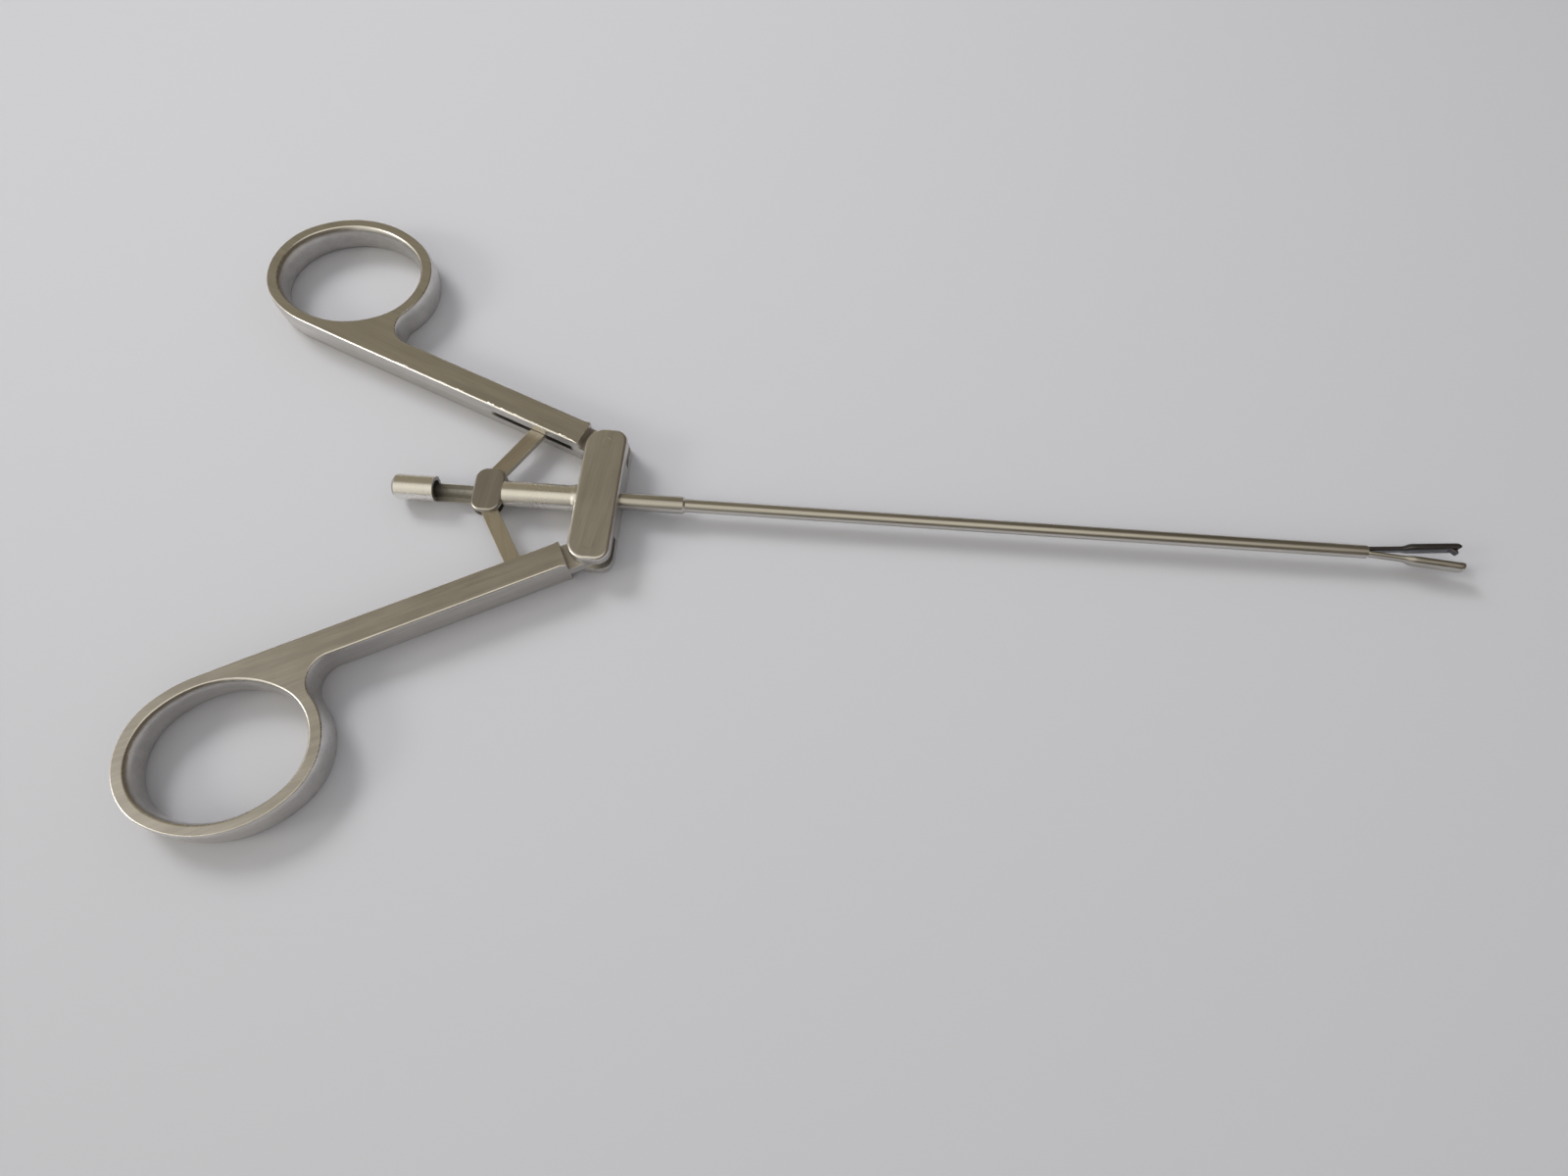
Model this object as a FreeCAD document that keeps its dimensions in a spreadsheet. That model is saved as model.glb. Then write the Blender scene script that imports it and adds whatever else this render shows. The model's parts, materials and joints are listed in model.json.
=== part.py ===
"""Tendon pulling forceps: ring handles in a block, links to a crosshead, a pull rod in a thin shaft.

Millimetres. +X runs along the shaft to the jaws, +Y to the left handle, +Z up from the flat
side that lies on the table. The origin is on the shaft's axis where the tube leaves its ferrule.
The rest position is the open one: the handles spread, the crosshead forward, the jaws apart.
"""
import FreeCAD, Part
import Sketcher
import math
import os

doc = FreeCAD.newDocument("forceps")
sheet = doc.addObject("Spreadsheet::Sheet", "Sizes")

SIZES = [
    ("shaft_od", 2.4, "outside of the shaft tube"),
    ("shaft_bore", 1.9, "inside of the shaft tube"),
    ("shaft_len", 121.3, "tube in front of the ferrule"),
    ("mouth_edge", 0.1, "broken outer edge of the tube's mouth"),
    ("seat_gap", 0.01, "radial gap of a brazed or pressed seat"),
    ("run_gap", 0.05, "gap between flat faces that slide or turn on each other"),
    ("ferrule_od", 3.2, "outside of the ferrule"),
    ("ferrule_len", 11.9, "ferrule in front of the block"),
    ("ferrule_spigot", 4.0, "ferrule inside the block"),
    ("ferrule_wall", 0.19, "ferrule's wall round the tube's thicker root"),
    ("ferrule_chamfer", 0.35, "chamfer at the ferrule's front, which goes on across the tube's root"),
    ("block_x", 7.7, "block along the shaft"),
    ("block_y", 26.7, "block across"),
    ("block_z", 6.1, "block height"),
    ("block_rear_radius", 3.4, "rear corners in plan"),
    ("block_front_radius", 2.4, "front corners in plan"),
    ("block_edge", 0.25, "broken top and bottom edges"),
    ("pivot_y", 10.3, "handle pivots from the shaft's axis"),
    ("pivot_pin_d", 2.0, "handle pivot pins"),
    ("clevis_gap", 2.0, "height of the slots in the block's ends"),
    ("clevis_room", 0.4, "room between a tongue's round end and its slot's floor"),
    ("guide_od", 4.65, "outside of the guide"),
    ("guide_bore", 3.3, "inside of the guide"),
    ("guide_len", 34.3, "guide behind the block"),
    ("guide_knob_len", 7.7, "full round end of the guide"),
    ("guide_end_wall", 3.0, "closed end of the guide's bore"),
    ("guide_chamfer", 0.55, "chamfer at the guide's end"),
    ("window_front", 13.75, "window's front end behind the block"),
    ("window_seat", 1.4, "window's floor below the axis"),
    ("collar_od", 5.1, "braze collar round the guide at the block"),
    ("collar_len", 1.0, "length of that collar"),
    ("crosshead_back", 20.3, "crosshead pins behind the handle pivots, open"),
    ("crosshead_x", 4.9, "crosshead along the shaft"),
    ("crosshead_y", 8.2, "crosshead across"),
    ("crosshead_z", 2.7, "crosshead height"),
    ("crosshead_corner", 1.8, "its corners in plan"),
    ("crosshead_edge", 0.2, "its broken edges"),
    ("crosshead_pin_y", 2.9, "link pins from the axis on the crosshead"),
    ("link_w", 2.85, "width of a link"),
    ("link_t", 1.1, "thickness of a link"),
    ("link_gap", 1.2, "height of the crosshead's slots for the links"),
    ("link_pin_d", 1.2, "link pins"),
    ("link_eye_play", 0.25, "radial play of the link's eye on the handle's pin"),
    ("handle_z", 5.9, "thickness of the handles"),
    ("bar_w", 5.0, "width of the handle's bar"),
    ("bar_start", 4.7, "bar's end face from the pivot"),
    ("tongue_z", 1.9, "thickness of the tongue in the block's slot"),
    ("ring_out_a", 17.03, "finger ring outside, long half axis"),
    ("ring_out_b", 13.95, "finger ring outside, short half axis"),
    ("ring_in_a", 14.55, "finger ring inside at its narrowest, long half axis"),
    ("ring_in_b", 11.85, "finger ring inside at its narrowest, short half axis"),
    ("ring_along", 66.83, "ring's centre from the pivot along the bar"),
    ("ring_tilt", 13.5, "turn of the ring's long axis towards the shaft, degrees"),
    ("crotch_radius", 3.2, "fillet between bar and ring"),
    ("handle_edge", 0.45, "rounded edges of the handles"),
    ("ring_ease_high", 1.3, "finger hole's wall leans outwards over this height at both faces"),
    ("ring_ease_wide", 0.8, "and makes the hole this much wider all round there"),
    ("link_arm", 13.4, "link pin from the pivot"),
    ("link_arm_angle", 21.8, "direction of the link pin from the shaft's line, open, degrees"),
    ("saw_width", 1.5, "height of the slot for the link in a handle"),
    ("saw_radius", 11.3, "cutter that makes the slot for the link"),
    ("saw_depth", 4.5, "depth of that slot"),
    ("saw_along", 15.6, "middle of that slot from the pivot"),
    ("left_open_angle", 21.8, "left handle's bar from the shaft's line, open, degrees"),
    ("right_open_angle", 27.5, "right handle's bar from the shaft's line, open, degrees"),
    ("rod_d", 1.76, "pull rod"),
    ("rod_pin_d", 0.8, "pin through crosshead and rod"),
    ("jaw_root", 1.0, "legs' root behind the tube's mouth, open"),
    ("jaw_open_angle", 5.0, "each jaw from the shaft's line, open, degrees"),
    ("jaw_gap", 0.05, "half the gap between the closed jaws' faces"),
    ("leg_radius", 0.74, "half round spring leg"),
    ("leg_len", 7.1, "leg from its root to the jaw's shoulder"),
    ("shoulder_len", 1.7, "shoulder between leg and jaw"),
    ("jaw_radius", 1.15, "half round jaw"),
    ("jaw_len", 17.8, "jaw's tip from the leg's root"),
    ("jaw_tip_radius", 0.8, "rounding of the jaw's end"),
    ("claw_len", 1.7, "claw along the jaw"),
    ("claw_high", 0.8, "claw across"),
    ("claw_wide", 0.9, "claw's thickness"),
    ("claw_root", 0.2, "depth of the claw's foot in its jaw"),
    ("claw_room", 0.15, "room round the claw in the other jaw"),
    ("lip_len", 0.45, "raised end of the right jaw"),
    ("lip_high", 0.3, "height of that end"),
    ("lip_room", 0.1, "room over that end in the left jaw"),
]
for row, (alias, value, note) in enumerate(SIZES, 1):
    sheet.set("A%d" % row, alias)
    sheet.set("B%d" % row, "%.12g" % value)
    sheet.set("C%d" % row, note)
    sheet.setAlias("B%d" % row, alias)
doc.recompute()


def val(alias):
    return float(sheet.get(alias))


def S(text):
    """Writes sheet names in an expression as Sizes.name."""
    words = {alias for alias, value, note in SIZES}
    out = ""
    word = ""
    for ch in text + " ":
        if ch.isalnum() or ch == "_":
            word += ch
        else:
            out += "Sizes." + word if word in words else word
            out += ch
            word = ""
    return out.strip()


def bind(obj, **props):
    for prop, text in props.items():
        obj.setExpression(prop.replace("__", "."), S(text))
    return obj


def at(obj, x="0", y="0", z="0"):
    obj.setExpression("Placement.Base.x", S(x))
    obj.setExpression("Placement.Base.y", S(y))
    obj.setExpression("Placement.Base.z", S(z))
    return obj


def box(name, length, width, height, x, y, z):
    b = doc.addObject("Part::Box", name)
    bind(b, Length=length, Width=width, Height=height)
    return at(b, x, y, z)


def pin_z(name, diameter, height, x, y, z):
    """A round piece or cutter along Z."""
    c = doc.addObject("Part::Cylinder", name)
    bind(c, Radius="(%s) / 2" % diameter, Height=height)
    return at(c, x, y, z)


def pin_x(name, diameter, length, x):
    """A round piece or cutter along the shaft's axis."""
    c = doc.addObject("Part::Cylinder", name)
    c.Placement.Rotation = FreeCAD.Rotation(FreeCAD.Vector(0, 1, 0), 90)
    bind(c, Radius="(%s) / 2" % diameter, Height=length)
    return at(c, x)


def cut(name, base, tools):
    tool = tools[0]
    if len(tools) > 1:
        tool = doc.addObject("Part::MultiFuse", name + "_tools")
        tool.Shapes = tools
    c = doc.addObject("Part::Cut", name)
    c.Base = base
    c.Tool = tool
    return c


def fuse(name, shapes):
    f = doc.addObject("Part::MultiFuse", name)
    f.Shapes = shapes
    f.Refine = True
    return f


def rounded(name, base, radius, chosen, kind="Part::Fillet"):
    """Fillets or chamfers the edges that the rule chooses."""
    doc.recompute()
    edges = [(i, radius, radius) for i, e in enumerate(base.Shape.Edges, 1) if chosen(e)]
    if not edges:
        raise ValueError(name + ": no edge to round")
    f = doc.addObject(kind, name)
    f.Base = base
    f.Edges = edges
    return f


def vertical(e):
    a, b = e.Vertexes[0].Point, e.Vertexes[-1].Point
    return abs(a.x - b.x) < 1e-6 and abs(a.y - b.y) < 1e-6 and abs(a.z - b.z) > 0.1


def level(e, z):
    box_ = e.BoundBox
    return abs(box_.ZMin - z) < 1e-6 and abs(box_.ZMax - z) < 1e-6


def turned(name, points, x="0"):
    """A turned piece: a half section of (along, radius) corners, revolved about X."""
    body = doc.addObject("PartDesign::Body", name)
    plane = [f for f in body.Origin.OriginFeatures if f.Role == "XY_Plane"][0]
    sk = body.newObject("Sketcher::SketchObject", name + "_section")
    sk.AttachmentSupport = [(plane, "")]
    sk.MapMode = "FlatFace"
    count = len(points)
    corners = [FreeCAD.Vector(*number(pair), 0) for pair in points]
    for i in range(count):
        sk.addGeometry(Part.LineSegment(corners[i], corners[(i + 1) % count]), False)
    for i in range(count):
        sk.addConstraint(Sketcher.Constraint("Coincident", i, 2, (i + 1) % count, 1))
    for i, (along, radius) in enumerate(points):
        vx, vy = corners[i].x, corners[i].y
        n = sk.addConstraint(Sketcher.Constraint("DistanceX", -1, 1, i, 1, vx))
        sk.setExpression("Constraints[%d]" % n, S(along))
        n = sk.addConstraint(Sketcher.Constraint("DistanceY", -1, 1, i, 1, vy))
        sk.setExpression("Constraints[%d]" % n, S(radius))
    rev = body.newObject("PartDesign::Revolution", name + "_turned")
    rev.Profile = sk
    rev.ReferenceAxis = (sk, ["H_Axis"])
    rev.Angle = 360
    body.Tip = rev
    at(body, x)
    return body


def number(pair):
    """The value now of a pair of expressions in sheet names."""
    out = []
    for text in pair:
        total = sheet.evalExpression(S(text))
        out.append(float(getattr(total, "Value", total)))
    return out


# Where things lie along the shaft: the block's faces and the handle pivots.
BLOCK_FRONT = "-ferrule_len"
BLOCK_REAR = "-ferrule_len - block_x"
PIVOT_X = "-ferrule_len - block_x / 2"
CROSSHEAD_X = "-ferrule_len - block_x / 2 - crosshead_back"

# Block: rounded in plan, slotted at both ends for the handles' tongues, bored for the two tubes.
block_bar = box("block_bar", "block_x", "block_y", "block_z", BLOCK_REAR, "-block_y / 2", "-block_z / 2")
doc.recompute()
front_x = -val("ferrule_len")
rear_x = front_x - val("block_x")
top_z = val("block_z") / 2
block_rear = rounded("block_rear_corners", block_bar, val("block_rear_radius"),
                     lambda e: vertical(e) and abs(e.CenterOfMass.x - rear_x) < 0.01)
block_round = rounded("block_front_corners", block_rear, val("block_front_radius"),
                      lambda e: vertical(e) and abs(e.CenterOfMass.x - front_x) < 0.01)
block_soft = rounded("block_edges", block_round, val("block_edge"),
                     lambda e: level(e, top_z) or level(e, -top_z), "Part::Chamfer")
SLOT_LONG = "block_y / 2 - pivot_y + bar_w / 2 + clevis_room + 1"
block_tools = [
    pin_x("ferrule_seat", "ferrule_od + 2 * seat_gap", "ferrule_spigot + 1", "-ferrule_len - ferrule_spigot"),
    pin_x("guide_seat", "guide_od + 2 * seat_gap", "block_x - ferrule_spigot + 1", BLOCK_REAR + " - 1"),
]
for side, name in ((1, "left"), (-1, "right")):
    floor = "pivot_y - bar_w / 2 - clevis_room" if side > 0 else "-block_y / 2 - 1"
    block_tools.append(box("clevis_slot_" + name, "block_x + 2", SLOT_LONG, "clevis_gap",
                           BLOCK_REAR + " - 1", floor, "-clevis_gap / 2"))
    block_tools.append(pin_z("pivot_hole_" + name, "pivot_pin_d + 2 * seat_gap", "block_z + 2",
                             PIVOT_X, "%d * pivot_y" % side, "-block_z / 2 - 1"))
handle_block = cut("handle_block", block_soft, block_tools)

# Tubes on the shaft's axis, all turned. The shaft tube has a thicker root inside its ferrule.
ferrule_profile = [
    ("-ferrule_spigot", "ferrule_od / 2 - ferrule_wall"),
    ("-ferrule_spigot", "ferrule_od / 2"),
    ("ferrule_len - ferrule_chamfer", "ferrule_od / 2"),
    ("ferrule_len - ferrule_chamfer + ferrule_wall * 0.9", "ferrule_od / 2 - ferrule_wall * 0.9"),
    ("ferrule_len - ferrule_chamfer + ferrule_wall * 0.9", "ferrule_od / 2 - ferrule_wall"),
]
shaft_ferrule = turned("shaft_ferrule", ferrule_profile, BLOCK_FRONT)
shaft_profile = [
    ("-ferrule_len - ferrule_spigot", "shaft_bore / 2"),
    ("-ferrule_len - ferrule_spigot", "ferrule_od / 2 - ferrule_wall - seat_gap"),
    ("ferrule_wall + seat_gap - ferrule_chamfer", "ferrule_od / 2 - ferrule_wall - seat_gap"),
    ("0", "ferrule_od / 2 - ferrule_chamfer"),
    ("0", "shaft_od / 2"),
    ("shaft_len - mouth_edge", "shaft_od / 2"),
    ("shaft_len", "shaft_od / 2 - mouth_edge"),
    ("shaft_len", "shaft_bore / 2"),
]
shaft_tube = turned("shaft_tube", shaft_profile)

# Guide: a round bar bored from the front, its top milled away so that the crosshead can slide in it.
GUIDE_FRONT = "block_x - ferrule_spigot - run_gap"
guide_profile = [
    (GUIDE_FRONT, "guide_bore / 2"),
    (GUIDE_FRONT, "guide_od / 2"),
    ("guide_chamfer - guide_len", "guide_od / 2"),
    ("-guide_len", "guide_od / 2 - guide_chamfer"),
    ("-guide_len", "0"),
    ("guide_end_wall - guide_len", "0"),
    ("guide_end_wall - guide_len", "guide_bore / 2"),
]
guide_bar = turned("guide_bar", guide_profile, BLOCK_REAR)
window = box("guide_window", "guide_len - guide_knob_len - window_front", "guide_od + 2",
             "guide_od / 2 + window_seat + 1", BLOCK_REAR + " - guide_len + guide_knob_len",
             "-guide_od / 2 - 1", "-window_seat")
guide_tube = cut("guide_tube", guide_bar, [window])
collar_profile = [
    ("-collar_len", "guide_od / 2 + seat_gap"),
    ("-collar_len", "guide_od / 4 + collar_od / 4"),
    ("-collar_len * 0.5", "collar_od / 2"),
    ("0", "collar_od / 2"),
    ("0", "guide_od / 2 + seat_gap"),
]
guide_collar = turned("guide_collar", collar_profile, BLOCK_REAR)

# Pull rod from the crosshead to the spring legs of the jaws.
ROD_START = CROSSHEAD_X + " - crosshead_x / 2"
ROD_END = "shaft_len - jaw_root - leg_radius / 2 - run_gap"
pull_bar = pin_x("pull_bar", "rod_d", "%s - (%s)" % (ROD_END, ROD_START), ROD_START)
rod_hole = pin_z("rod_pin_hole", "rod_pin_d + 2 * seat_gap", "rod_d + 2", CROSSHEAD_X, "0", "-rod_d / 2 - 1")
pull_rod = cut("pull_rod", pull_bar, [rod_hole])

# Crosshead: a flat block on the guide's milled seat, slotted at both ends for the links.
head_bar = box("crosshead_bar", "crosshead_x", "crosshead_y", "crosshead_z",
               ROD_START, "-crosshead_y / 2", "-crosshead_z / 2")
head_round = rounded("crosshead_corners", head_bar, val("crosshead_corner"), vertical)
head_z = val("crosshead_z") / 2
head_soft = rounded("crosshead_edges", head_round, val("crosshead_edge"),
                    lambda e: level(e, head_z) or level(e, -head_z), "Part::Chamfer")
SLOT_FLOOR = "crosshead_pin_y - link_w / 2 - run_gap"
SLOT_REACH = "crosshead_y / 2 + 1 - (%s)" % SLOT_FLOOR
head_tools = [
    pin_x("crosshead_bore", "rod_d + 2 * seat_gap", "crosshead_x + 2", ROD_START + " - 1"),
    pin_z("crosshead_rod_pin_hole", "rod_pin_d + 2 * seat_gap", "crosshead_z + 2",
          CROSSHEAD_X, "0", "-crosshead_z / 2 - 1"),
]
for side, name in ((1, "left"), (-1, "right")):
    floor = SLOT_FLOOR if side > 0 else "-crosshead_y / 2 - 1"
    head_tools.append(box("crosshead_slot_" + name, "crosshead_x + 2", SLOT_REACH, "link_gap",
                          ROD_START + " - 1", floor, "-link_gap / 2"))
    head_tools.append(pin_z("crosshead_pin_hole_" + name, "link_pin_d + 2 * seat_gap", "crosshead_z + 2",
                            CROSSHEAD_X, "%d * crosshead_pin_y" % side, "-crosshead_z / 2 - 1"))
crosshead = cut("crosshead", head_soft, head_tools)
rod_pin = pin_z("rod_pin", "rod_pin_d", "crosshead_z", CROSSHEAD_X, "0", "-crosshead_z / 2")


class Oval:
    """Four arcs in one smooth ring: ends of a small radius, sides of a large one."""

    def __init__(self, centre, turn, long_half, short_half):
        self.turn, self.long_half, self.short_half = turn, long_half, short_half
        self.centre = FreeCAD.Vector(*centre, 0)
        self.along = FreeCAD.Vector(math.cos(turn), math.sin(turn), 0)
        self.across = FreeCAD.Vector(-math.sin(turn), math.cos(turn), 0)
        # with this end radius the four arcs lie within 0.1 mm of an ellipse
        less = (long_half - short_half) / 2
        self.end_radius = short_half - less
        self.k = long_half - self.end_radius
        self.h = (self.k ** 2 - less ** 2) / (2 * less)
        self.side_radius = short_half + self.h

    def end_centre(self, sign):
        return self.centre + self.along * (sign * self.k)

    def side_centre(self, sign):
        """Centre of the arc on the side of the sign, which lies across the ring from it."""
        return self.centre - self.across * (sign * self.h)

    def joint(self, end, side):
        out = self.end_centre(end) - self.side_centre(side)
        return self.end_centre(end) + out.normalize() * self.end_radius

    def end_top(self, end):
        return self.end_centre(end) + self.along * (end * self.end_radius)

    def side_top(self, side):
        return self.side_centre(side) + self.across * (side * self.side_radius)

    def wider(self, more):
        """The oval that lies the same distance outside this one all round."""
        centre = (self.centre.x, self.centre.y)
        return Oval(centre, self.turn, self.long_half + more, self.short_half + more)

    def face(self):
        arcs = [
            Part.Arc(self.joint(-1, -1), self.side_top(-1), self.joint(1, -1)),
            Part.Arc(self.joint(1, -1), self.end_top(1), self.joint(1, 1)),
            Part.Arc(self.joint(1, 1), self.side_top(1), self.joint(-1, 1)),
            Part.Arc(self.joint(-1, 1), self.end_top(-1), self.joint(-1, -1)),
        ]
        return Part.Face(Part.Wire([arc.toShape() for arc in arcs]))


def arc_between(centre, radius, start, end):
    """The short arc about a centre from one point to another."""
    middle = (start - centre) + (end - centre)
    return Part.Arc(start, centre + middle.normalize() * radius, end)


def handle_faces(out):
    """Outline of bar and ring, and the ring's hole. Pivot at 0, bar along +X, ring to the sign's side."""
    tilt, half, rc = -out * math.radians(val("ring_tilt")), val("bar_w") / 2, val("crotch_radius")
    shape = Oval((0, 0), tilt, val("ring_out_a"), val("ring_out_b"))
    # the bar's inner side touches the arc that faces it
    reach = shape.side_radius - shape.h * math.cos(tilt)
    centre = (val("ring_along"), out * (reach - half))
    shape = Oval(centre, tilt, val("ring_out_a"), val("ring_out_b"))
    hole = Oval(centre, tilt, val("ring_in_a"), val("ring_in_b"))
    inner, outer = -out, out
    touch = shape.side_centre(inner) + FreeCAD.Vector(0, inner * shape.side_radius, 0)
    # the crotch's arc touches the bar's outer side and the ring's near end
    near = shape.end_centre(-1)
    oy = outer * (half + rc)
    ox = near.x - math.sqrt((shape.end_radius + rc) ** 2 - (oy - near.y) ** 2)
    crotch = FreeCAD.Vector(ox, oy, 0)
    leave = near + (crotch - near).normalize() * shape.end_radius
    land = FreeCAD.Vector(ox, outer * half, 0)
    start = val("bar_start")
    a = FreeCAD.Vector(start, inner * half, 0)
    b = FreeCAD.Vector(start, outer * half, 0)
    far_in, far_out, near_out = shape.joint(1, inner), shape.joint(1, outer), shape.joint(-1, outer)
    edges = [
        Part.LineSegment(a, touch),
        arc_between(shape.side_centre(inner), shape.side_radius, touch, far_in),
        Part.Arc(far_in, shape.end_top(1), far_out),
        Part.Arc(far_out, shape.side_top(outer), near_out),
        arc_between(near, shape.end_radius, near_out, leave),
        arc_between(crotch, rc, leave, land),
        Part.LineSegment(land, b),
        Part.LineSegment(b, a),
    ]
    return Part.Face(Part.Wire([edge.toShape() for edge in edges])), hole


UP = FreeCAD.Vector(0, 0, 1)
PIVOT = FreeCAD.Vector(-val("ferrule_len") - val("block_x") / 2, val("pivot_y"), 0)


def link_pin_place(side):
    """Link pin on the handle in the forceps' frame, open."""
    turn = math.radians(val("link_arm_angle"))
    reach = FreeCAD.Vector(-math.cos(turn), math.sin(turn), 0) * val("link_arm")
    return FreeCAD.Vector(PIVOT.x + reach.x, side * (PIVOT.y + reach.y), 0)


def exact(number_):
    """A computed length as text for an expression."""
    return "%.12g" % number_


def slab(name, face, height):
    """A flat face thickened evenly to both sides."""
    outline = doc.addObject("Part::Feature", name + "_outline")
    outline.Shape = face
    solid = doc.addObject("Part::Extrusion", name)
    solid.Base = outline
    solid.DirMode = "Custom"
    solid.Dir = FreeCAD.Vector(0, 0, 1)
    solid.Solid = True
    solid.Symmetric = True
    return bind(solid, LengthFwd=height)


def finger_cutters(name, hole):
    """Cutters for the finger hole: straight right through, and wider from some depth to each face."""
    face_z, high, past = val("handle_z") / 2, val("ring_ease_high"), 0.5
    reach = val("ring_ease_wide") * (high + past) / high
    cutters = [slab(name + "_straight", hole.face(), "handle_z + 4")]
    for way, word in ((1, "top"), (-1, "bottom")):
        sections = []
        for place, oval, z in (("foot", hole, face_z - high), ("rim", hole.wider(reach), face_z + past)):
            section = doc.addObject("Part::Feature", "%s_%s_%s" % (name, word, place))
            section.Shape = oval.face().OuterWire.translated(FreeCAD.Vector(0, 0, way * z))
            sections.append(section)
        flare = doc.addObject("Part::Loft", "%s_%s" % (name, word))
        flare.Sections = sections
        flare.Solid = True
        flare.Ruled = True
        cutters.append(flare)
    return cutters


def handle(name, side, opened):
    """Bar with a finger ring, a slot for the link and a thin tongue for the block, in its open place."""
    outline, ring_hole = handle_faces(-side)
    blank = slab(name + "_blank", outline, "handle_z")
    doc.recompute()
    half_z, start = val("handle_z") / 2, val("bar_start")
    edged = rounded(name + "_edged", blank, val("handle_edge"),
                    lambda e: (level(e, half_z) or level(e, -half_z)) and e.BoundBox.XMax > start + 0.01,
                    "Part::Chamfer")
    soft = cut(name + "_ringed", edged, finger_cutters(name + "_finger_cutter", ring_hole))
    saw = pin_z(name + "_saw", "2 * saw_radius", "saw_width", "saw_along",
                "%d * (bar_w / 2 + saw_radius - saw_depth)" % side, "-saw_width / 2")
    place = FreeCAD.Placement()
    place.Base = FreeCAD.Vector(PIVOT.x, side * PIVOT.y, 0)
    place.Rotation = FreeCAD.Rotation(UP, side * (180 - val(opened)))
    pin_at = place.inverse().multVec(link_pin_place(side))
    pin_hole = pin_z(name + "_pin_hole", "link_pin_d + 2 * seat_gap", "handle_z + 2",
                     exact(pin_at.x), exact(pin_at.y), "-handle_z / 2 - 1")
    body = cut(name + "_body", soft, [saw, pin_hole])
    tongue_end = pin_z(name + "_tongue_end", "bar_w", "tongue_z", "0", "0", "-tongue_z / 2")
    tongue_bar = box(name + "_tongue_bar", "bar_start + 0.3", "bar_w", "tongue_z",
                     "0", "-bar_w / 2", "-tongue_z / 2")
    joined = fuse(name + "_joined", [body, tongue_end, tongue_bar])
    eye = pin_z(name + "_pivot_hole", "pivot_pin_d + 2 * run_gap", "tongue_z + 2",
                "0", "0", "-tongue_z / 2 - 1")
    result = cut(name, joined, [eye])
    result.Placement = place
    return result


handle_left = handle("handle_left", 1, "left_open_angle")
handle_right = handle("handle_right", -1, "right_open_angle")


def link(name, side):
    """Flat strap with round ends; its eye on the handle's pin has play."""
    near = FreeCAD.Vector(PIVOT.x - val("crosshead_back"), side * val("crosshead_pin_y"), 0)
    way = link_pin_place(side) - near
    far = exact(way.Length)
    strap = fuse(name + "_joined", [
        box(name + "_strap", far, "link_w", "link_t", "0", "-link_w / 2", "-link_t / 2"),
        pin_z(name + "_near_end", "link_w", "link_t", "0", "0", "-link_t / 2"),
        pin_z(name + "_far_end", "link_w", "link_t", far, "0", "-link_t / 2"),
    ])
    result = cut(name, strap, [
        pin_z(name + "_near_eye", "link_pin_d + 2 * run_gap", "link_t + 2", "0", "0", "-link_t / 2 - 1"),
        pin_z(name + "_far_eye", "link_pin_d + 2 * link_eye_play", "link_t + 2", far, "0", "-link_t / 2 - 1"),
    ])
    turn = math.degrees(math.atan2(way.y, way.x))
    result.Placement = FreeCAD.Placement(near, FreeCAD.Rotation(UP, turn))
    return result


link_left = link("link_left", 1)
link_right = link("link_right", -1)

pins = []
for side, name in ((1, "left"), (-1, "right")):
    far = link_pin_place(side)
    pins += [
        pin_z("pivot_pin_" + name, "pivot_pin_d", "block_z", PIVOT_X, "%d * pivot_y" % side, "-block_z / 2"),
        pin_z("crosshead_pin_" + name, "link_pin_d", "crosshead_z",
              CROSSHEAD_X, "%d * crosshead_pin_y" % side, "-crosshead_z / 2"),
        pin_z("link_pin_" + name, "link_pin_d", "handle_z", exact(far.x), exact(far.y), "-handle_z / 2"),
    ]

# Jaws: half round spring legs in the tube, thicker jaws in front of it.
CLAW_START = "jaw_len - lip_len - claw_room - claw_len"
JAW_PROFILE = [
    ("0", "0"),
    ("0", "leg_radius"),
    ("leg_len", "leg_radius"),
    ("leg_len + shoulder_len", "jaw_radius"),
    ("jaw_len", "jaw_radius"),
    ("jaw_len", "0"),
]


def clawed(name, blank):
    """The left jaw's tip: a claw pointing inwards, with the end behind the other jaw's lip cut back."""
    claw = doc.addObject("Part::Wedge", name + "_claw")
    bind(claw, Xmin="0", Xmax="claw_len", X2min="claw_len * 0.55", X2max="claw_len * 0.85")
    bind(claw, Ymin="0", Ymax="claw_high + claw_root", Zmin="0", Zmax="claw_wide")
    bind(claw, Z2min="claw_wide * 0.25", Z2max="claw_wide * 0.75")
    claw.Placement.Rotation = FreeCAD.Rotation(FreeCAD.Vector(1, 0, 0), 180)
    at(claw, CLAW_START, "jaw_gap + claw_root", "claw_wide / 2")
    relief = box(name + "_relief", "lip_len + claw_room + 1", "jaw_gap + lip_high + lip_room",
                 "jaw_radius * 4", "jaw_len - lip_len - claw_room", "0", "-jaw_radius * 2")
    return cut(name + "_shaped", fuse(name + "_clawed", [blank, claw]), [relief])


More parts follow.
